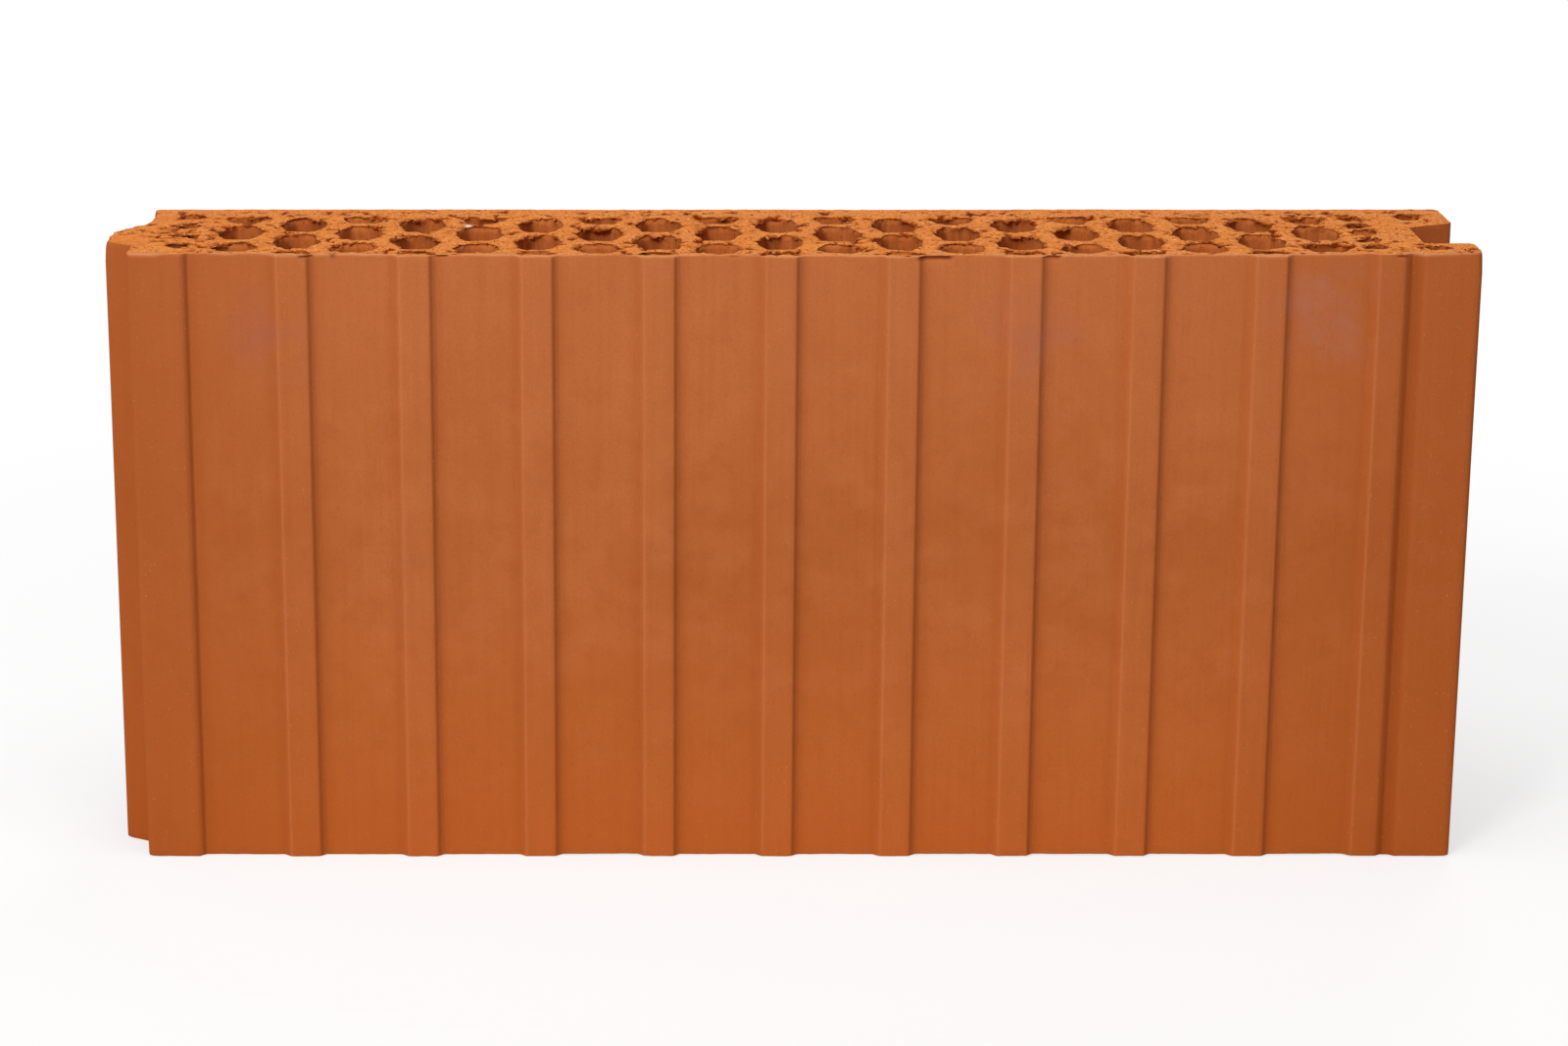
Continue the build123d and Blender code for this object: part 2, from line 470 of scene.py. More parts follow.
def burr(plan, seed, strength):
    """How far flaps of torn clay hang over a cell's rear rim, in millimetres.

    The wire came out of the clay there. A slow noise along the block says
    where a flap is, a quick one gives its ragged end, and both fade out
    towards the middle of the cell's depth, so the rim never folds over.
    Between the flaps the rim is torn back, which is a reach below zero. The
    near row and the small end cells are torn wider all along.
    """
    flat = solid(plan.points * (1, 0.3), plan.loop * 9.0)
    flaps = ease(noise(flat, 6.5, seed), -0.15, 0.55)
    ends = 1.6 + 1.5 * noise(flat, 1.9, seed + 1) + 0.9 * noise(flat, 0.95, seed + 2)
    torn_back = 0.9 + 0.5 * noise(flat, 2.2, seed + 3)
    reach = flaps * np.clip(ends, 0.1, 3.6) - (1 - flaps) * torn_back
    rear = ease((plan.points[:, 1] - plan.middle) / plan.half_depth, 0.0, 0.6)
    room = np.clip(plan.half_depth / 10, 0.2, 1)
    wide = 1.1 * plan.near_row + 0.9 * plan.small
    wide = wide * (1 + 0.4 * noise(flat, 4.0, seed + 4))
    return np.where(plan.is_cell, (reach * room - wide) * rear * strength, 0)


def ragged(flat, seed):
    """Sideways shifts of points in millimetres, from two sizes of noise for
    each direction, small enough that near points keep their order."""
    shifts = [
        0.6 * noise(flat, 2.4, seed + 2 * way)
        + 0.3 * noise(flat, 1.2, seed + 2 * way + 1)
        for way in range(2)]
    return np.stack(shifts, axis=1)


def edge_wear(plan, seed):
    """How far the outer upper edge is rubbed back, in millimetres."""
    flat = solid(plan.points, 0)
    worn = 0.25 + 0.25 * noise(flat, 14.0, seed) + 0.2 * noise(flat, 2.6, seed + 1)
    return np.where(plan.is_cell, 0, np.clip(worn, 0.05, 0.6))


def knocked(points):
    """Shifts of plan points near a knocked corner: the push times
    exp(-(distance/radius)^2)."""
    shift = np.zeros_like(points)
    for u, v, radius, push_u, push_v in KNOCKS:
        gap = ((points - (u, v)) ** 2).sum(axis=1)
        shift += np.exp(-gap / radius ** 2)[:, None] * (push_u, push_v)
    return shift


def tears(flat):
    """Depth of the single tears of the upper face, in millimetres.

    Each tear is depth * exp(-(a/length)^4 - (b/width)^2), with b bent and the
    depth broken up by noise.
    """
    depth = np.zeros(len(flat))
    for u, v, length, width, drop in TEARS:
        near = np.flatnonzero(np.abs(flat[:, 0] - u) < 2 * length)
        spot = flat[near]
        a = (spot[:, 0] - u) / length
        b = (spot[:, 1] - v + 1.6 * noise(spot, 4.0, 91)) / width
        mark = drop * np.exp(-a ** 4 - b ** 2) * (0.9 + 0.7 * noise(spot, 2.0, 92))
        depth[near] = np.maximum(depth[near], mark)
    return depth


def cut_relief(points, seed, rim_gap, rim_burr, calm):
    """Drop of a wire-cut face below its highest level, in millimetres, and how
    torn the clay is there, from 0 to 1.

    Broad waves, drag lines that follow the wire's way across the block, coarse
    grain, plucked pits where one noise field peaks, and a rounded fall towards
    every rim, deeper where a flap hangs over it. The clay is torn in the pits,
    on the flaps, and in frayed lengths right at the rims. Calm is 1 along the
    outer edge, where the clay isn't plucked.
    """
    flat = solid(points, 0)
    waves = 0.14 * (1 + noise(flat, 45.0, seed))
    drag = 0.12 * (1 + noise(flat * (1, 0.16, 1), 2.4, seed + 9))
    grain = 0.13 * (1.6 + layered(flat, 2.4, seed + 1))
    fields = noise(flat, 3.9, seed + 5) * 0.65 + noise(flat, 1.8, seed + 6) * 0.55
    near = np.exp(-rim_gap / 1.4) * (1 - calm)
    pluck = 2.0 * np.clip(fields - 0.36 + 0.18 * near, 0, 0.6) * (1 - 0.95 * calm)
    fall = (0.3 + 0.35 * np.clip(rim_burr, 0, 2)) * np.exp(-rim_gap / 0.9)
    hung = 0.8 * ease(rim_burr, 0.9, 2) * np.exp(-rim_gap / 1.2)
    frayed = 0.9 * ease(noise(flat, 3.1, seed + 7), -0.1, 0.5) * near ** 2
    torn_and_painted_shade = np.maximum(np.maximum(ease(pluck, 0.08, 0.5), hung), frayed)
    return waves + (drag + grain) * (1 - 0.6 * calm) + pluck + fall, torn_and_painted_shade


def bow(points):
    """Sag of the upper cut towards the middle of its front edge."""
    along = 1 - np.clip(np.abs(points[:, 0] / BODY_LENGTH * 2 - 1), 0, 1) ** 3
    return SAG * along * np.clip(1 - points[:, 1] / DEPTH, 0, 1) ** 1.5


def chipped(points, below):
    """Depth of the flake scars at plan points on the front face, at a depth
    below the upper edge.

    Each scar is drop * exp(-(a/width)^4 - (b/height)^2), broken up by noise.
    """
    depth = np.zeros(len(points))
    for u, at, half_width, half_height, drop in CHIPS:
        a = (points[:, 0] - u) / half_width
        b = (below - at) / half_height
        broken = 1 + 0.35 * noise(solid(points, below), 1.5, 95)
        depth = np.maximum(depth, drop * broken * np.exp(-a ** 4 - b ** 2))
    return np.where(points[:, 1] < FRONT_BAND, depth, 0)


def unevenness(plan, height):
    """How far the walls stand out into the open at a height, in millimetres:
    a little either way in the cells, and never outwards on the outer skin."""
    flat = solid(plan.points, height)
    rough = np.where(plan.is_cell, 0.10 * noise(flat, 2.4, 71), 0)
    skin = np.where(plan.is_cell, 0, 0.05 + 0.05 * noise(flat * (1, 1, 0.1), 6.0, 72))
    return rough - skin


def squeezed(plan, outline, share):
    """The outline with smeared cells drawn together towards their middle."""
    along = solid(plan.points * (1, 0.2), plan.loop * 7.0)
    keep = 1 - np.clip(plan.smear * (1 + 0.3 * noise(along, 2.0, 73)) * share, 0, 0.85)
    moved = plan.middle + (outline[:, 1] - plan.middle) * keep
    return np.stack([outline[:, 0], np.where(plan.is_cell, moved, outline[:, 1])], axis=1)


def wall_faces(sizes, fine, coarse, pick):
    """Faces between each level of the walls and the next one down, and their
    material slots.

    Where a fine level stands on a coarse one, three triangles join two edges
    of the fine outline to one of the coarse outline. Pick holds the numbers of
    the fine points that the coarse outline keeps.
    """
    starts = np.concatenate([[0], np.cumsum(sizes)])
    faces, slots = [], []
    for number in range(len(sizes) - 1):
        high, low = starts[number], starts[number + 1]
        if sizes[number] > sizes[number + 1]:
            even, following = pick, coarse.next
            odd = fine.next[even]
            after = fine.next[odd]
            here = np.arange(len(even))
            band = np.concatenate([
                np.stack([low + here, high + odd, high + even], axis=1),
                np.stack([low + here, low + following, high + odd], axis=1),
                np.stack([low + following, high + after, high + odd], axis=1)])
            kind = np.tile(coarse.is_cell, 3)
        else:
            plan = fine if sizes[number] == len(fine.points) else coarse
            here = np.arange(len(plan.points))
            band = np.stack(
                [low + here, low + plan.next, high + plan.next, high + here], axis=1)
            kind = plan.is_cell
        faces += band.tolist()
        slots.append(np.where(kind, WALL_SLOT, SKIN_SLOT))
    return faces, slots


def lip_dust_and_highlight_mask(plan):
    """How light the upper edge of the front face is, from rubbed dust and a painted
    highlight, unevenly along its length, and 0 on every other outline."""
    front = ~plan.is_cell * (plan.points[:, 1] < FRONT_BAND)
    return front * (0.75 + 0.5 * noise(solid(plan.points, 0), 9.0, 76))


def upper_levels(plan, flaps, drop, torn_and_painted_shade, lip_dust_and_light):
    """Levels of the walls from the upper cut face down, each with its mask of
    torn clay and painted shade and its mask of the lip's dust and painted highlight.

    Everything that the wire did fades out on the way down. The torn mask also
    carries painted shade, darker under the flaps, at the rear of the cells and
    in the flake scars.
    """
    wear = edge_wear(plan, 31)
    rear_side = ease((plan.points[:, 1] - plan.middle) / plan.half_depth, 0.0, 0.6)
    levels, masks, lip_light_levels = [], [], []
    for depth, left in zip(FINE_DEPTHS, FLAP_LEFT):
        flat = solid(plan.points, plan.loop * 5.0 + depth * 1.5)
        flap = flaps * left * (1 + 0.3 * noise(flat, 1.3, 74) * (depth > 0))
        scars = chipped(plan.points, depth)
        worn = wear * math.exp(-depth / 0.6) + scars
        outline = plan.points + plan.open_side * (unevenness(plan, depth) - worn)[:, None]
        outline += ragged(flat, 75) * (np.where(plan.is_cell, 1, 0.25) * left)[:, None]
        outline += knocked(plan.points) * math.exp(-depth / 3)
        outline[:, 1] -= flap
        outline = squeezed(plan, outline, left)
        levels.append(solid(outline, HEIGHT - depth - drop * math.exp(-depth / 2.5)))
        # Painted shade in the cells: darker at the rear rim and under the flaps, more in
        # the near row and the small cells, fading with depth.
        shaded = 0.5 * rear_side * math.exp(-depth / 1.3) + 0.6 * ease(flap, 0.4, 1.8)
        shaded = shaded + 0.1 * rear_side * (plan.near_row | plan.small)
        shaded = shaded * min(1, depth * 2) * math.exp(-depth / 6)
        painted_cell_shade = np.where(plan.is_cell, shaded, 0)
        # The torn mask takes the painted shade in the cells, the torn clay of the face
        # above, and painted shade in the flake scars.
        masks.append(np.max(
            [painted_cell_shade, torn_and_painted_shade * math.exp(-depth), ease(scars, 0.12, 0.5)], axis=0))
        lip_light_levels.append(np.clip(lip_dust_and_light - depth * 0.75, 0, 1))
    return levels, masks, lip_light_levels


def lower_levels(plan, flaps, rise, torn_and_painted_shade):
    """Levels of the walls from deep in the block down to the bed face, each
    with its torn mask."""
    wear = edge_wear(plan, 41) * 0.6
    levels, masks = [], []
    for height in COARSE_RISES:
        left = math.exp(-height / 1.2)
        stands_out = unevenness(plan, height) - wear * math.exp(-height / 0.7)
        outline = plan.points + plan.open_side * stands_out[:, None]
        outline[:, 1] -= flaps * left
        levels.append(
            solid(outline, height + rise * BED_RELIEF * math.exp(-height / 3)))
        masks.append(torn_and_painted_shade * left)
    return levels, masks


def block_mesh(fine, coarse, pick):
    """Points, faces, material slots and masks of the whole block.

    The walls are the section's outline carried up through levels of height.
    Near both cut faces the outline is torn, and further in it is clean. The
    two cut faces close it, with relief taken from the same noise. At the end
    all points are held within the solid's box. The masks are the torn one, for
    torn clay and for painted shade in the cells and the flake scars, and the
    lip one, for the rubbed, dusty upper edge of the front face with its painted
    highlight.
    """
    top_burr = burr(fine, 11, 1.0)
    low_burr = burr(coarse, 21, 0.6)
    drop, torn_and_painted_shade = cut_relief(fine.points, TOP_SEED, 0.0, top_burr, 1.0 * ~fine.is_cell)
    rise, low_torn = cut_relief(
        coarse.points, BED_SEED, 0.0, low_burr, 1.0 * ~coarse.is_cell)
    lip_dust_and_light = lip_dust_and_highlight_mask(fine)
    upper, masks, lip_light_levels = upper_levels(
        fine, top_burr, drop + bow(fine.points), torn_and_painted_shade, lip_dust_and_light)
    lower, low_masks = lower_levels(coarse, low_burr, rise, low_torn)
    levels = upper + lower

    top_rims, low_rims = levels[0][:, :2], levels[-1][:, :2]
    top_inner = inner_points(fine, top_rims, TOP_STEP, 81)
    low_inner = inner_points(coarse, low_rims, BED_STEP, 82)
    top_gap, top_near = nearest_rim(top_inner, top_rims)
    low_gap, low_near = nearest_rim(low_inner, low_rims)
    edge = ~fine.is_cell[top_near] * np.exp(-top_gap / 1.5)
    drop, torn_and_painted_shade = cut_relief(top_inner, TOP_SEED, top_gap, top_burr[top_near], edge)
    mark = tears(solid(top_inner, 0))
    top_height = HEIGHT - drop - bow(top_inner) - mark
    torn_and_painted_shade = np.maximum(torn_and_painted_shade, ease(mark, 0.15, 0.8))
    low_edge = ~coarse.is_cell[low_near] * np.exp(-low_gap / 1.5)
    rise, low_torn = cut_relief(
        low_inner, BED_SEED, low_gap, low_burr[low_near], low_edge)

    top_faces = cap_triangles(fine, top_rims, top_inner)
    low_faces = cap_triangles(coarse, low_rims, low_inner)
    sizes = [len(level) for level in levels]
    starts = np.concatenate([[0], np.cumsum(sizes)])
    top_at, low_at = starts[-1], starts[-1] + len(top_inner)
    top_faces = np.where(top_faces < sizes[0], top_faces, top_faces - sizes[0] + top_at)
    low_faces = np.where(
        low_faces < sizes[-1], low_faces + starts[-2], low_faces - sizes[-1] + low_at)

    faces, slots = wall_faces(sizes, fine, coarse, pick)
    faces += top_faces.tolist() + low_faces[:, ::-1].tolist()
    slots += [np.full(len(top_faces) + len(low_faces), CUT_SLOT)]
    points = np.concatenate(levels + [
        solid(top_inner, top_height), solid(low_inner, rise * BED_RELIEF)])
    points = np.clip(points, (-TONGUE_OUT, 0, 0), (BODY_LENGTH, DEPTH, HEIGHT))
    lip_light_levels += [np.zeros(len(level)) for level in lower]
    lip_light_levels += [lip_dust_and_light[top_near] * np.exp(-top_gap / 1.1), np.zeros(len(low_inner))]
    masks = {
        "torn_and_painted_shade": np.concatenate(masks + low_masks + [torn_and_painted_shade, low_torn]),
        "lip_dust_and_highlight": np.concatenate(lip_light_levels)}
    return points, faces, np.concatenate(slots), masks


def crumb_mesh(points, torn_and_painted_shade, sites, radii, seed):
    """Crumbs of torn clay pressed into the cut face.

    Each is an icosahedron whose twelve corners are pushed out or in at
    random, squashed to its own three radii and tilted by a few tenths of a
    radian, with its middle on a point of the block, so that half is buried.
    """
    golden = (1 + math.sqrt(5)) / 2
    ball = np.array([
        (-1, golden, 0), (1, golden, 0), (-1, -golden, 0), (1, -golden, 0),
        (0, -1, golden), (0, 1, golden), (0, -1, -golden), (0, 1, -golden),
        (golden, 0, -1), (golden, 0, 1), (-golden, 0, -1), (-golden, 0, 1)])
    ball /= np.linalg.norm(ball[0])
    sides = np.array([
        (0, 11, 5), (0, 5, 1), (0, 1, 7), (0, 7, 10), (0, 10, 11),
        (1, 5, 9), (5, 11, 4), (11, 10, 2), (10, 7, 6), (7, 1, 8),
        (3, 9, 4), (3, 4, 2), (3, 2, 6), (3, 6, 8), (3, 8, 9),
        (4, 9, 5), (2, 4, 11), (6, 2, 10), (8, 6, 7), (9, 8, 1)])
    random = np.random.default_rng(seed)
    count = len(sites)
    swell = random.uniform(0.7, 1.2, (count, 12, 1))
    shape = ball * swell * radii[:, None]
    turn, tilt = random.uniform(0, 2 * math.pi, count), random.uniform(-0.5, 0.5, count)
    x, y, z = shape[..., 0], shape[..., 1], shape[..., 2]
    c, s = np.cos(tilt)[:, None], np.sin(tilt)[:, None]
    x, z = x * c - z * s, x * s + z * c
    c, s = np.cos(turn)[:, None], np.sin(turn)[:, None]
    x, y = x * c - y * s, x * s + y * c
    crumbs = np.stack([x, y, z], axis=-1) + points[sites][:, None]
    crumbs[..., 2] = np.minimum(crumbs[..., 2], HEIGHT - 0.05)
    faces = sides[None] + 12 * np.arange(count)[:, None, None]
    # A crumb takes the torn mask where it sits, which below the rear rims is painted
    # shade, and a random share more.
    shade = np.clip(torn_and_painted_shade[sites] + random.uniform(-0.3, 0.6, count), 0, 1)
    return crumbs.reshape(-1, 3), faces.reshape(-1, 3).tolist(), np.repeat(shade, 12)


def crumb_sites(points, plan, seed):
    """Numbers of the block's points that crumbs sit on, and the crumbs' radii.

    Small grains lie anywhere on the upper cut face but its outer edge, most
    of them near the cells, where the points are closest. Flat flakes lie just
    below the rear rims, half out over the cell.
    """
    random = np.random.default_rng(seed)
    u, v = points[:, 0], points[:, 1]
    inside = (v < DEPTH - 2.5) & (u > 1) & (u < BODY_LENGTH - 2) & (v > 3.5)
    upper = np.flatnonzero(inside & (points[:, 2] > HEIGHT - 3))
    rear_rim = plan.points[:, 1] > plan.middle + 0.35 * plan.half_depth
    rims = np.flatnonzero(plan.is_cell & rear_rim)
    below_rims = rims[np.isin(rims, upper)] + len(plan.points)
    grains = random.choice(upper, GRAIN_COUNT, replace=False)
    flakes = random.choice(below_rims, FLAKE_COUNT, replace=False)
    grain_size = random.uniform(0.22, 0.6, (GRAIN_COUNT, 1))
    grain_shape = random.uniform(0.6, 1.2, (GRAIN_COUNT, 3))
    flake_size = random.uniform(0.6, 1.4, (FLAKE_COUNT, 1))
    flake_shape = random.uniform((0.8, 0.6, 0.25), (1.3, 0.9, 0.5), (FLAKE_COUNT, 3))
    radii = np.concatenate([grain_size * grain_shape, flake_size * flake_shape])
    return np.concatenate([grains, flakes]), radii


def place(points):
    """Plan millimetres to the frame's metres, with the origin under the middle."""
    return (points - (MIDDLE, DEPTH / 2, 0)) * MM


def depth_at(v):
    """The frame's y, in metres, of a plan depth."""
    return (v - DEPTH / 2) * MM


def piece_from(name, points, faces, slots, masks, materials):
    """A mesh piece of the block, at the origin, riding on its one body."""
    mesh = bpy.data.meshes.new(name)
    mesh.from_pydata(points.tolist(), [], faces)
    for material in materials:
        mesh.materials.append(material)
    mesh.polygons.foreach_set("material_index", np.asarray(slots, np.int32))
    mesh.polygons.foreach_set("use_smooth", np.ones(len(faces), bool))
    mesh.set_sharp_from_angle(angle=math.radians(SHARP_ANGLE))
    mesh.validate()
    for mask, values in masks.items():
        attribute = mesh.attributes.new(mask, "FLOAT", "POINT")
        attribute.data.foreach_set("value", np.asarray(values, np.float32))
    mesh.update()
    piece = bpy.data.objects.new(name, mesh)
    bpy.context.scene.collection.objects.link(piece)
    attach(piece, "root")
    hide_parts("clay_block")
    return piece


def linear(hex_colour):
    """An sRGB hex colour as linear red, green, blue and alpha: c/12.92 up to
    0.04045, and ((c + 0.055)/1.055)^2.4 above."""
    channels = [int(hex_colour[i:i + 2], 16) / 255 for i in (1, 3, 5)]
    linear_channels = [
        c / 12.92 if c <= 0.04045 else ((c + 0.055) / 1.055) ** 2.4 for c in channels]
    return linear_channels + [1.0]


def node(tree, kind, settings=None, inputs=None):
    """Adds one shader node, sets its properties, and feeds its inputs with
    values or with other nodes' output sockets."""
    made = tree.nodes.new(kind)
    for name, value in (settings or {}).items():
        setattr(made, name, value)
    for name, value in (inputs or {}).items():
        if isinstance(value, bpy.types.NodeSocket):
            tree.links.new(value, made.inputs[name])
        else:
            made.inputs[name].default_value = value
    return made


def new_material(name, roughness, specular):
    """A material with its shader's plain numbers set, and its object position."""
    material = bpy.data.materials.new(name)
    material.use_nodes = True
    tree = material.node_tree
    shader = tree.nodes["Principled BSDF"]
    shader.inputs["Roughness"].default_value = roughness
    shader.inputs["IOR"].default_value = 1.5
    shader.inputs["Specular IOR Level"].default_value = specular
    where = node(tree, "ShaderNodeTexCoord").outputs["Object"]
    return material, tree, shader, where


def patches(tree, where, size, low, high, most, detail=2.0, squash=(1, 1, 1)):
    """Mask that runs from 0 to most where noise of a size in millimetres runs
    from low to high. Detail adds finer layers, and squash slows the noise along
    an axis, for streaks."""
    scaled = node(tree, "ShaderNodeVectorMath", {"operation": "MULTIPLY"}, {
        0: where, 1: [part / (size * MM) for part in squash]})
    field = node(tree, "ShaderNodeTexNoise", None, {
        "Vector": scaled.outputs[0], "Scale": 1.0, "Detail": detail, "Roughness": 0.55})
    mask = node(tree, "ShaderNodeMapRange", None, {
        "Value": field.outputs[0], "From Min": low, "From Max": high, "To Max": most})
    return mask.outputs[0]


def spot(tree, where, centre, radius, most):
    """Soft round mask around one place of the block, given in plan millimetres."""
    gap = node(tree, "ShaderNodeVectorMath", {"operation": "DISTANCE"}, {
        0: where, 1: place(np.array([centre], float))[0].tolist()})
    mask = node(tree, "ShaderNodeMapRange", {"interpolation_type": "SMOOTHERSTEP"}, {
        "Value": gap.outputs["Value"], "From Min": radius * MM, "From Max": 0.0,
        "To Max": most})
    return mask.outputs[0]


def front_side(tree, axes):
    """Mask of the ribs, the panels and the slot: 1 there, 0 further back."""
    mask = node(tree, "ShaderNodeMapRange", None, {
        "Value": axes.outputs["Y"], "From Min": depth_at(4.0), "From Max": depth_at(2.5)})
    return mask.outputs[0]


def rib_painted_light_line(tree, axes, u, reach, most):
    """Mask of an upright line on the front face that comes back with every rib:
    most at plan position u, and 0 at reach millimetres beside it. The left leg
    has none. The masks carry painted shade and a painted highlight along the ribs'
    slopes."""
    shifted = node(tree, "ShaderNodeMath", {"operation": "SUBTRACT"}, {
        0: axes.outputs["X"], 1: (u - MIDDLE) * MM})
    wrapped = node(tree, "ShaderNodeMath", {"operation": "WRAP"}, {
        0: shifted.outputs[0], 1: RIB_PITCH / 2 * MM, 2: -RIB_PITCH / 2 * MM})
    gap = node(tree, "ShaderNodeMath", {"operation": "ABSOLUTE"}, {0: wrapped.outputs[0]})
    line = node(tree, "ShaderNodeMapRange", {"interpolation_type": "SMOOTHSTEP"}, {
        "Value": gap.outputs[0], "From Min": reach * MM, "From Max": 0.0, "To Max": most})
    past_leg = node(tree, "ShaderNodeMath", {"operation": "GREATER_THAN"}, {
        0: axes.outputs["X"], 1: (LEFT_LEG - MIDDLE) * MM})
    kept = node(tree, "ShaderNodeMath", {"operation": "MULTIPLY"}, {
        0: line.outputs[0], 1: past_leg.outputs[0]})
    return node(tree, "ShaderNodeMath", {"operation": "MULTIPLY"}, {
        0: kept.outputs[0], 1: front_side(tree, axes)}).outputs[0]


def tinted(tree, base, layers):
    """A base colour with tints laid over it, each through its own mask."""
    colour = linear(base)
    for mask, tint in layers:
        mixed = node(tree, "ShaderNodeMix", {"data_type": "RGBA"}, {
            0: mask, 6: colour, 7: linear(tint)})
        colour = mixed.outputs[2]
    return colour


def relief(tree, shader, layers):
    """Bump from masks, each with its own height in millimetres."""
    normal = None
    for mask, height in layers:
        feeds = {"Height": mask, "Distance": height * MM, "Strength": 1.0}
        if normal is not None:
            feeds["Normal"] = normal
        normal = node(tree, "ShaderNodeBump", None, feeds).outputs[0]
    tree.links.new(normal, shader.inputs["Normal"])


def extruded_skin():
    """Fired brick clay as the steel die left it: matt and smooth, with faint
    lines drawn along its height, clouds of kiln colour and a fine sandy grain.

    The tints: painted shade makes it darker and redder towards both ends, in
    the slot, beside the ribs and on their right slopes, with a painted highlight
    on their left edges and painted light under the upper edge; it is more orange
    at the foot, with a few violet hazes.
    """
    material, tree, shader, where = new_material(
        "extruded_clay_skin", roughness=0.9, specular=0.08)
    drawn = (1, 1, 0.03)
    axes = node(tree, "ShaderNodeSeparateXYZ", None, {"Vector": where})
    rib = node(tree, "ShaderNodeMapRange", None, {
        "Value": axes.outputs["Y"], "From Min": depth_at(1.5), "From Max": depth_at(0.3),
        "To Max": 0.06})
    # Painted shade: darker and redder towards both ends, standing in for the light
    # falling off there.
    aside = node(
        tree, "ShaderNodeMath", {"operation": "ABSOLUTE"}, {0: axes.outputs["X"]})
    ends = node(tree, "ShaderNodeMapRange", None, {
        "Value": aside.outputs[0], "From Min": 150 * MM,
        "From Max": (BODY_LENGTH + TONGUE_OUT) / 2 * MM, "To Max": 0.62})
    # Painted shade in the recessed slot.
    slot_middle = BODY_LENGTH - RIGHT_LEG - SLOT_WIDTH / 2
    off_slot = node(tree, "ShaderNodeMath", {"operation": "SUBTRACT"}, {
        0: axes.outputs["X"], 1: (slot_middle - MIDDLE) * MM})
    from_slot = node(
        tree, "ShaderNodeMath", {"operation": "ABSOLUTE"}, {0: off_slot.outputs[0]})
    slot_shade_band = node(tree, "ShaderNodeMapRange", None, {
        "Value": from_slot.outputs[0], "From Min": (SLOT_WIDTH / 2 + 0.6) * MM,
        "From Max": (SLOT_WIDTH / 2 - 1.1) * MM, "To Max": 0.4})
    slot_painted_shade = node(tree, "ShaderNodeMath", {"operation": "MULTIPLY"}, {
        0: slot_shade_band.outputs[0], 1: front_side(tree, axes)})
    foot = node(tree, "ShaderNodeMapRange", None, {
        "Value": axes.outputs["Z"], "From Min": 120 * MM, "From Max": 0.0, "To Max": 0.8})
    # Painted light: the front face lighter towards its upper edge.
    crown_painted_light = node(tree, "ShaderNodeMapRange", None, {
        "Value": axes.outputs["Z"], "From Min": 130 * MM, "From Max": 230 * MM,
        "To Max": 0.6})
    torn_and_painted_shade = node(tree, "ShaderNodeAttribute", {"attribute_name": "torn_and_painted_shade"}).outputs["Fac"]
    lip_dust_and_highlight = node(tree, "ShaderNodeAttribute", {"attribute_name": "lip_dust_and_highlight"}).outputs["Fac"]
    streak = patches(tree, where, 2.4, 0.35, 0.7, 1.0, 2.0, drawn)
    grain = patches(tree, where, 0.8, 0.3, 0.7, 1.0)
    smoke = patches(tree, where, 14, 0.4, 0.68, 1.0, 3.0)
    hazes = []
    for centre, radius, most, tint in HAZES:
        share = node(tree, "ShaderNodeMath", {"operation": "MULTIPLY"}, {
            0: spot(tree, where, centre, radius, most), 1: smoke})
        hazes.append((share.outputs[0], tint))
    left_edge = FIRST_RIB - RIB_WIDTH / 2
    right_edge = FIRST_RIB + RIB_WIDTH / 2
    colour = tinted(tree, "#b15f2e", [
        (patches(tree, where, 95, 0.38, 0.62, 0.55), "#bd6a38"),
        (patches(tree, where, 60, 0.5, 0.7, 0.14), "#a4562a"),
        (patches(tree, where, 17, 0.45, 0.7, 0.4, 3.0), "#c07042"),
        (patches(tree, where, 8, 0.5, 0.72, 0.32, 3.0), "#a2522a"),
        (foot.outputs[0], "#bb5e22"),
        (crown_painted_light.outputs[0], "#bf6d3f"),
        (rib.outputs[0], "#c67a50"),
        (ends.outputs[0], "#a04c18"),
        (slot_painted_shade.outputs[0], "#8c3d0e"),
        # Painted shade beside the ribs and on their right slopes, and a painted highlight
        # on their left edges.
        (rib_painted_light_line(tree, axes, left_edge - 2.0, 3.5, 0.35), "#a04e1e"),
        (rib_painted_light_line(tree, axes, left_edge + 0.3, 0.9, 0.22), "#cd8055"),
        (rib_painted_light_line(tree, axes, right_edge + 0.7, 1.1, 0.5), "#823604"),
        (rib_painted_light_line(tree, axes, right_edge + 2.8, 4.0, 0.2), "#a04e1e"),
        (patches(tree, where, 2.4, 0.45, 0.75, 0.14, 2.0, drawn), "#9d5227"),
        (patches(tree, where, 1.0, 0.52, 0.75, 0.3), "#98502a"),
        (patches(tree, where, 0.9, 0.25, 0.02, 0.35, 0.0), "#dd9468"),
        *hazes,
        # Rubbed dust on the front lip, with a painted highlight.
        (lip_dust_and_highlight, "#cf8559"),
        # Torn clay near the upper edge, and painted shade in the flake scars.
        (torn_and_painted_shade, "#7d3517"),
        (spot(tree, where, DARK_SPECK, 2.6, 1.0), "#40382f")])
    tree.links.new(colour, shader.inputs["Base Color"])
    relief(tree, shader, [(streak, 0.05), (grain, 0.06)])
    return material


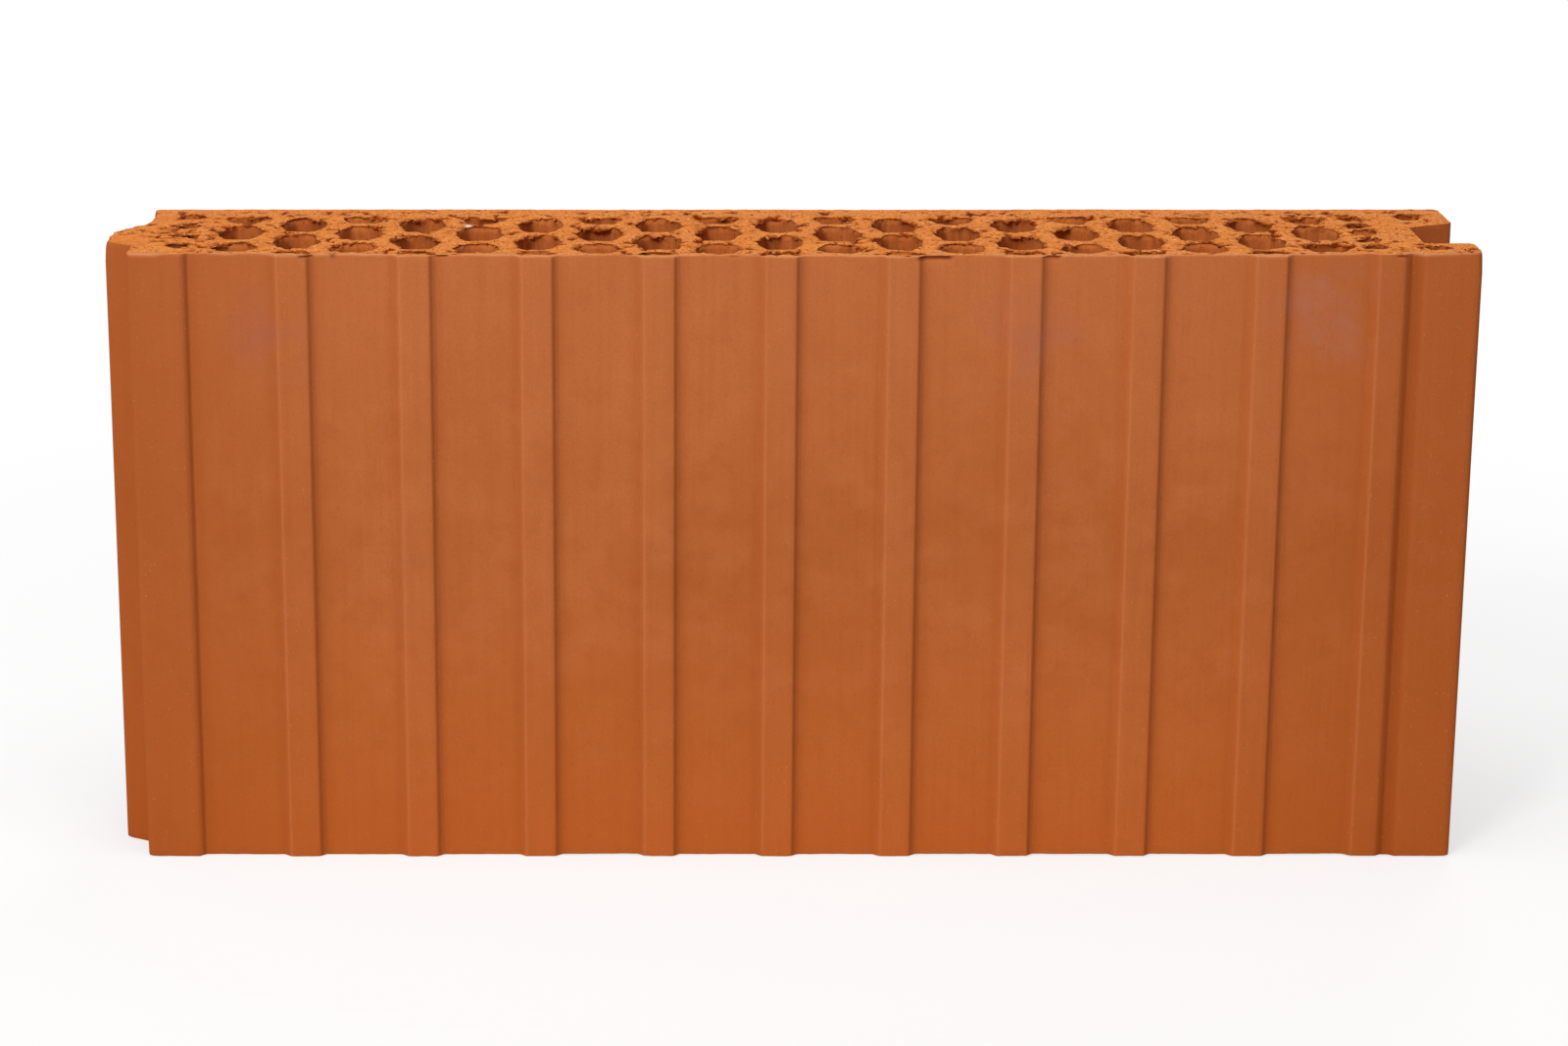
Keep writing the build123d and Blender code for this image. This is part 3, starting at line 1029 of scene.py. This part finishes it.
def wire_cut_face():
    """Clay torn by the cutting wire before firing: ochre orange, open and
    grainy, with dark red-brown where the surface is plucked or torn."""
    material, tree, shader, where = new_material(
        "wire_cut_clay", roughness=0.95, specular=0.05)
    torn_and_painted_shade = node(tree, "ShaderNodeAttribute", {"attribute_name": "torn_and_painted_shade"}).outputs["Fac"]
    lip_dust_and_highlight = node(tree, "ShaderNodeAttribute", {"attribute_name": "lip_dust_and_highlight"}).outputs["Fac"]
    coarse = patches(tree, where, 1.5, 0.3, 0.7, 1.0, 3.0)
    fine = patches(tree, where, 0.55, 0.3, 0.7, 1.0, 2.0)
    colour = tinted(tree, "#e68a40", [
        (patches(tree, where, 14, 0.42, 0.66, 0.5, 3.0), "#d27430"),
        (patches(tree, where, 26, 0.5, 0.7, 0.5, 3.0), "#e68c48"),
        (patches(tree, where, 2.2, 0.56, 0.7, 0.8, 4.0), "#b04e16"),
        (patches(tree, where, 1.2, 0.58, 0.7, 0.9, 3.0), "#8c3409"),
        (patches(tree, where, 1.1, 0.42, 0.28, 0.9, 2.0), "#f3b27a"),
        # Rubbed dust on the front lip, with a painted highlight.
        (lip_dust_and_highlight, "#d08a58"),
        # Torn clay, and on the flakes under the rear rims painted shade.
        (torn_and_painted_shade, "#782400"),
        (spot(tree, where, WHITE_SPECK, 2.4, 1.0), "#efe6df"),
        (spot(tree, where, DARK_SPECK, 2.6, 1.0), "#40382f")])
    tree.links.new(colour, shader.inputs["Base Color"])
    relief(tree, shader, [(coarse, 0.5), (fine, 0.2)])
    return material


def cell_wall():
    """Clay inside the cells: browner than the skin, with lines drawn by the cores
    of the die, and torn just under the mouths, where painted shade also darkens
    it under the flaps and at the rear."""
    material, tree, shader, where = new_material(
        "cell_wall_clay", roughness=0.92, specular=0.05)
    drawn = (1, 1, 0.04)
    torn_and_painted_shade = node(tree, "ShaderNodeAttribute", {"attribute_name": "torn_and_painted_shade"}).outputs["Fac"]
    streak = patches(tree, where, 1.6, 0.35, 0.7, 1.0, 2.0, drawn)
    colour = tinted(tree, "#c87039", [
        (patches(tree, where, 12, 0.42, 0.66, 0.6, 3.0), "#b55a26"),
        (patches(tree, where, 1.6, 0.45, 0.75, 0.5, 2.0, drawn), "#a04c18"),
        (patches(tree, where, 0.9, 0.55, 0.75, 0.5), "#944210"),
        # Torn clay, and painted shade under the flaps and at the rear of the cells.
        (torn_and_painted_shade, "#601a00")])
    tree.links.new(colour, shader.inputs["Base Color"])
    relief(tree, shader, [(streak, 0.12)])
    return material


def add_camera():
    """The camera at the photograph's viewing angle, square to the front face
    and looking a little down on it.

    The long lens stands in for the photograph's corrected uprights; the shift
    only brings the block to where the photograph has it.
    """
    data = bpy.data.cameras.new("camera")
    data.sensor_width = SENSOR
    data.lens = FOCAL_PIXELS * SENSOR / PHOTO_WIDTH
    data.shift_x, data.shift_y = CAMERA_SHIFT
    camera = bpy.data.objects.new("camera", data)
    bpy.context.scene.collection.objects.link(camera)
    camera.location = place(np.array(CAMERA_PLACE))
    camera.rotation_euler = (math.radians(90 - CAMERA_DIP), 0, 0)
    bpy.context.scene.camera = camera


def area_lamp(name, place_at, aim, size, power):
    """A soft rectangular lamp that faces the place it is aimed at."""
    data = bpy.data.lights.new(name, "AREA")
    data.shape = "RECTANGLE"
    data.size, data.size_y = size
    data.energy = power
    lamp = bpy.data.objects.new(name, data)
    bpy.context.scene.collection.objects.link(lamp)
    lamp.location = place_at
    direction = Vector(aim) - Vector(place_at)
    lamp.rotation_euler = direction.to_track_quat("-Z", "Y").to_euler()


def floor_material():
    """Matt white board that keeps the block's shadow close to it, and is plain
    white to the camera further out: its glow rises from near to far metres
    from the middle of the block."""
    near, far = 0.25, 0.75
    material, tree, shader, where = new_material(
        "matt_white_board", roughness=0.95, specular=0.1)
    shader.inputs["Base Color"].default_value = linear("#f6f6f6")
    path = node(tree, "ShaderNodeLightPath")
    gap = node(tree, "ShaderNodeVectorMath", {"operation": "LENGTH"}, {0: where})
    share = node(tree, "ShaderNodeMapRange", {"interpolation_type": "SMOOTHSTEP"}, {
        "Value": gap.outputs["Value"], "From Min": near, "From Max": far,
        "To Min": 0.62, "To Max": 1.0})
    seen = node(tree, "ShaderNodeMath", {"operation": "MULTIPLY"}, {
        0: share.outputs[0], 1: path.outputs["Is Camera Ray"]})
    white = node(
        tree, "ShaderNodeEmission", None, {"Color": (1, 1, 1, 1), "Strength": 1.0})
    mix = node(tree, "ShaderNodeMixShader", None, {
        0: seen.outputs[0], 1: shader.outputs[0], 2: white.outputs[0]})
    tree.links.new(mix.outputs[0], tree.nodes["Material Output"].inputs["Surface"])
    return material


def add_studio():
    """White surroundings, one soft lamp high on the left, and weak ones above
    and behind."""
    world = bpy.data.worlds.new("studio")
    bpy.context.scene.world = world
    world.use_nodes = True
    tree = world.node_tree
    background = tree.nodes["Background"]
    background.inputs["Color"].default_value = (1, 1, 1, 1)
    background.inputs["Strength"].default_value = WORLD_STRENGTH
    bright = node(
        tree, "ShaderNodeBackground", None, {"Color": (1, 1, 1, 1), "Strength": 1.0})
    path = node(tree, "ShaderNodeLightPath")
    mix = node(tree, "ShaderNodeMixShader", None, {
        0: path.outputs["Is Camera Ray"], 1: background.outputs[0], 2: bright.outputs[0]})
    tree.links.new(mix.outputs[0], tree.nodes["World Output"].inputs["Surface"])
    for lamp in LAMPS:
        area_lamp(*lamp)
    mesh = bpy.data.meshes.new("floor")
    signs = [(-1, -1), (1, -1), (1, 1), (-1, 1)]
    floor_corners = [(x * FLOOR_HALF, y * FLOOR_HALF, 0) for x, y in signs]
    mesh.from_pydata(floor_corners, [], [(0, 1, 2, 3)])
    floor = bpy.data.objects.new("floor", mesh)
    mesh.materials.append(floor_material())
    bpy.context.scene.collection.objects.link(floor)


outer = along_edges(outline_corners(), OUTLINE_STEP)
corners, smear = cell_corners()
cells = cell_loops(corners)
fine = Plan(outer, cells, smear)
coarse = Plan(outer[::2], cells[:, ::2], smear)
pick = np.concatenate([
    np.arange(0, len(outer), 2), np.arange(len(outer), len(fine.points), 2)])
points, faces, slots, masks = block_mesh(fine, coarse, pick)
cut_clay = wire_cut_face()
piece_from(
    "fired_clay_block", place(points), faces, slots, masks,
    [extruded_skin(), cut_clay, cell_wall()])

sites, radii = crumb_sites(points, fine, CRUMB_PLACE_SEED)
points, faces, shade = crumb_mesh(points, masks["torn_and_painted_shade"], sites, radii, CRUMB_SHAPE_SEED)
piece_from(
    "torn_clay_crumbs", place(points), faces, np.zeros(len(faces), int),
    {"torn_and_painted_shade": shade * 0.8, "lip_dust_and_highlight": shade * 0}, [cut_clay])
add_camera()
add_studio()
bpy.context.scene.view_settings.view_transform = "Standard"
